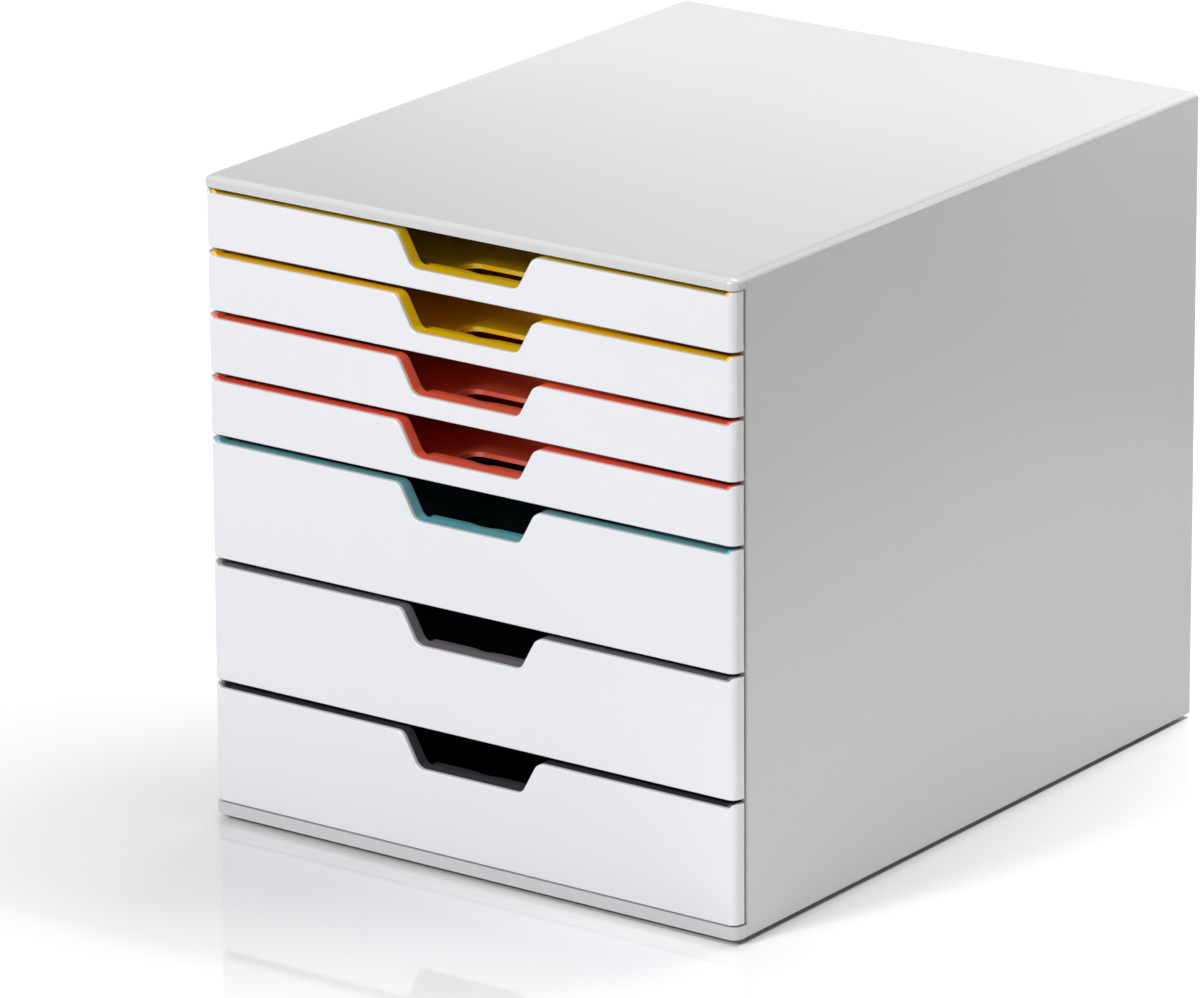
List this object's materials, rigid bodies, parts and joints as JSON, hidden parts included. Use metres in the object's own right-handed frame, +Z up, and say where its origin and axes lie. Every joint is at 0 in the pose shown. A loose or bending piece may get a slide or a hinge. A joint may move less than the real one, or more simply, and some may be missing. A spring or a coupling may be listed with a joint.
{
  "type": "drawer tower",
  "caption": "Desktop drawer tower with a grey casing and sliding coloured trays behind white fronts, each with a finger cut-out in its top edge, for papers and craft supplies.",
  "frame": {"origin": "middle of the footprint, on the surface that the feet stand on", "axes": "+X to the right seen from the front, +Y from the fronts to the back, +Z up; the drawers open towards -Y"},
  "size_m": [0.28, 0.357, 0.2935],
  "materials": {
    "casing_plastic": "smooth, slightly glossy",
    "front_plastic": "glossy",
    "foot_rubber": "matte",
    "tray_yellow": "satin",
    "tray_red": "satin",
    "tray_teal": "satin",
    "tray_mauve": "satin",
    "tray_anthracite": "satin"
  },
  "bodies": {
    "casing": {"top_cover": "casing_plastic", "base_plate": "casing_plastic", "left_side_panel": "casing_plastic", "right_side_panel": "casing_plastic", "back_panel": "casing_plastic", "foot_front_left": "foot_rubber", "foot_front_right": "foot_rubber", "foot_back_left": "foot_rubber", "foot_back_right": "foot_rubber"},
    "drawer_1": {"drawer_1_tray": "tray_yellow", "drawer_1_front": "front_plastic"},
    "drawer_2": {"drawer_2_tray": "tray_yellow", "drawer_2_front": "front_plastic"},
    "drawer_3": {"drawer_3_tray": "tray_red", "drawer_3_front": "front_plastic"},
    "drawer_4": {"drawer_4_tray": "tray_red", "drawer_4_front": "front_plastic"},
    "drawer_5": {"drawer_5_tray": "tray_teal", "drawer_5_front": "front_plastic"},
    "drawer_6": {"drawer_6_tray": "tray_mauve", "drawer_6_front": "front_plastic"},
    "drawer_7": {"drawer_7_tray": "tray_anthracite", "drawer_7_front": "front_plastic"}
  },
  "joints": [
    {"name": "drawer_1_slide", "type": "slide", "parent": "casing", "child": "drawer_1", "axis": [0, -1, 0], "range_m": [0, 0.27]},
    {"name": "drawer_2_slide", "type": "slide", "parent": "casing", "child": "drawer_2", "axis": [0, -1, 0], "range_m": [0, 0.27]},
    {"name": "drawer_3_slide", "type": "slide", "parent": "casing", "child": "drawer_3", "axis": [0, -1, 0], "range_m": [0, 0.27]},
    {"name": "drawer_4_slide", "type": "slide", "parent": "casing", "child": "drawer_4", "axis": [0, -1, 0], "range_m": [0, 0.27]},
    {"name": "drawer_5_slide", "type": "slide", "parent": "casing", "child": "drawer_5", "axis": [0, -1, 0], "range_m": [0, 0.27]},
    {"name": "drawer_6_slide", "type": "slide", "parent": "casing", "child": "drawer_6", "axis": [0, -1, 0], "range_m": [0, 0.27]},
    {"name": "drawer_7_slide", "type": "slide", "parent": "casing", "child": "drawer_7", "axis": [0, -1, 0], "range_m": [0, 0.27]}
  ]
}
